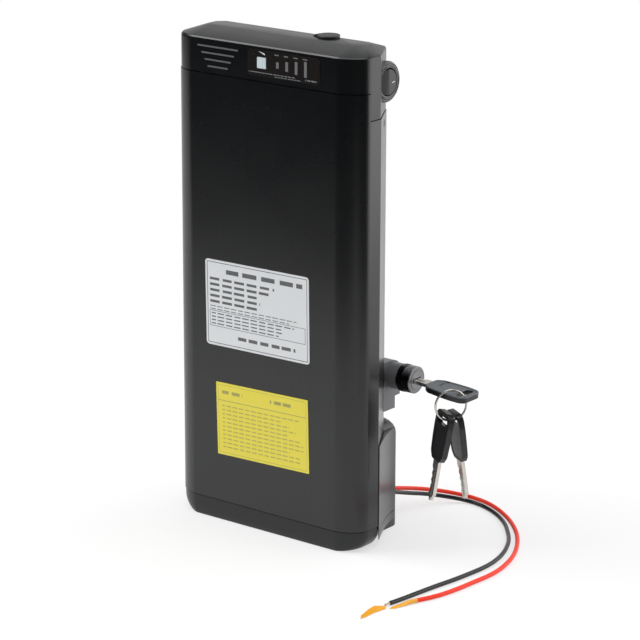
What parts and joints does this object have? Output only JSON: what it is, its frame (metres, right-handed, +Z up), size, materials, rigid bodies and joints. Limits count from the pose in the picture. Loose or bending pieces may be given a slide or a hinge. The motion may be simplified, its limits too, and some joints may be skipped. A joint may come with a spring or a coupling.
{
  "type": "rack e-bike battery",
  "caption": "Slide-on rack battery pack for an e-bike, standing in a keyed receiver, with charge gauge, switch, covered charge port, keys and two bare leads.",
  "frame": {"origin": "centre of the pack's underside, on the surface that the pack stands on", "axes": "+X across the broad front towards the lock, +Y from the front to the receiver at the back, +Z up along the pack, the way it slides out"},
  "size_m": [0.2094, 0.1898, 0.2865],
  "materials": {
    "case": "satin black powder coat",
    "case_plastic": "satin black moulded",
    "receiver_plastic": "satin black moulded",
    "rail_plastic": "matte black moulded",
    "screw_black": "black oxide",
    "steel": "zinc plated",
    "label_white": "printed film, satin",
    "label_yellow": "printed film, satin",
    "window": "smoked gloss film",
    "light_bar": "grey light guide",
    "board": "solder mask",
    "button_white": "white",
    "rubber_black": "matte black",
    "socket_plastic": "black",
    "switch_gloss": "black gloss",
    "rocker_gloss": "black gloss",
    "contact_brass": "plated",
    "holder": "natural moulded",
    "cell_wrap": "shrink sleeve",
    "nickel": "nickel plated",
    "chip": "black epoxy",
    "lead_red": "silicone insulation",
    "lead_black": "silicone insulation",
    "foam": "closed cell foam",
    "barrel": "black die cast",
    "nut": "black zinc",
    "lock_face": "grey zinc",
    "key_grip": "dark grey moulded",
    "key_black": "black moulded",
    "tape": "amber film",
    "strands": "tinned copper"
  },
  "bodies": {
    "receiver": {"receiver_rail": "rail_plastic", "receiver_box": "receiver_plastic", "receiver_base": "receiver_plastic", "receiver_socket": "socket_plastic", "receiver_blades": "contact_brass", "receiver_screws": "steel", "wire_gland": "rubber_black", "lock_block": "receiver_plastic", "lock_barrel": "barrel", "lock_nut": "nut", "red_lead": "lead_red", "black_lead": "lead_black", "red_tape": "tape", "black_strands": "strands", "black_tape": "tape"},
    "pack": {"body_shell": "case", "top_cap": "case_plastic", "foot_cap": "case_plastic", "cap_screws": "screw_black", "foot_screws": "screw_black", "slide_rib": "rail_plastic", "rib_screws": "steel", "upper_label": "label_white", "lower_label": "label_yellow", "indicator_window": "window", "light_bars": "light_bar", "indicator_board": "board", "charge_socket": "socket_plastic", "switch_bezel": "switch_gloss", "switch_terminals": "contact_brass", "holder_lower": "holder", "holder_middle": "holder", "holder_upper": "holder", "cells": "cell_wrap", "nickel_strips": "nickel", "bms_board": "board", "bms_parts": "chip", "pack_leads": "lead_red", "foam_pad": "foam", "discharge_plug": "socket_plastic", "plug_sockets": "contact_brass"},
    "rocker": {"switch_rocker": "rocker_gloss"},
    "button": {"test_button": "button_white"},
    "cover": {"port_cover": "rubber_black"},
    "plug": {"lock_plug": "lock_face"},
    "bolt": {"lock_bolt": "steel"},
    "key": {"key_blade": "nickel", "key_head": "key_grip"},
    "ring": {"key_ring": "nickel"},
    "spare_a": {"spare_head_a": "key_black", "spare_blade_a": "nickel"},
    "spare_b": {"spare_head_b": "key_black", "spare_blade_b": "nickel"}
  },
  "joints": [
    {"name": "pack_slide", "type": "slide", "parent": "receiver", "child": "pack", "axis": [0, 0, 1], "range_m": [0, 0.18]},
    {"name": "rocker_tip", "type": "hinge", "parent": "pack", "child": "rocker", "pos_m": [0.0597, 0.0122, 0.2636], "axis": [0, 0, 1], "range_deg": [0, 14]},
    {"name": "button_press", "type": "slide", "parent": "pack", "child": "button", "axis": [0, 1, 0], "range_m": [0, 0.0006], "stiffness_N_per_m": 1500},
    {"name": "cover_turn", "type": "hinge", "parent": "pack", "child": "cover", "pos_m": [0.0172, 0.0055, 0.285], "axis": [0, -1, 0], "range_deg": [0, 120]},
    {"name": "key_turn", "type": "hinge", "parent": "receiver", "child": "plug", "pos_m": [0.0692, 0.03, 0.0916], "axis": [1, 0, 0], "range_deg": [0, 90]},
    {"name": "bolt_slide", "type": "slide", "parent": "receiver", "child": "bolt", "axis": [0, -1, 0], "range_m": [0, 0.004]},
    {"name": "key_pull", "type": "slide", "parent": "plug", "child": "key", "axis": [0.9969, 0, -0.0785], "range_m": [-0.004, 0.03]},
    {"name": "ring_swing", "type": "hinge", "parent": "key", "child": "ring", "pos_m": [0.09775, 0.0232, 0.08936], "axis": [0.6428, 0.766, 0], "range_deg": [-12, 12]},
    {"name": "spare_a_swing", "type": "hinge", "parent": "ring", "child": "spare_a", "pos_m": [0.09563, 0.02067, 0.076], "axis": [0.596, 0.7103, -0.3746], "range_deg": [-12, 12]},
    {"name": "spare_b_swing", "type": "hinge", "parent": "ring", "child": "spare_b", "pos_m": [0.09949, 0.02528, 0.07579], "axis": [0.6113, 0.7286, 0.309], "range_deg": [-12, 12]}
  ],
  "couplings": [
    {"joint": "bolt_slide", "follows": "key_turn", "m_per_rad": 0.002546}
  ]
}
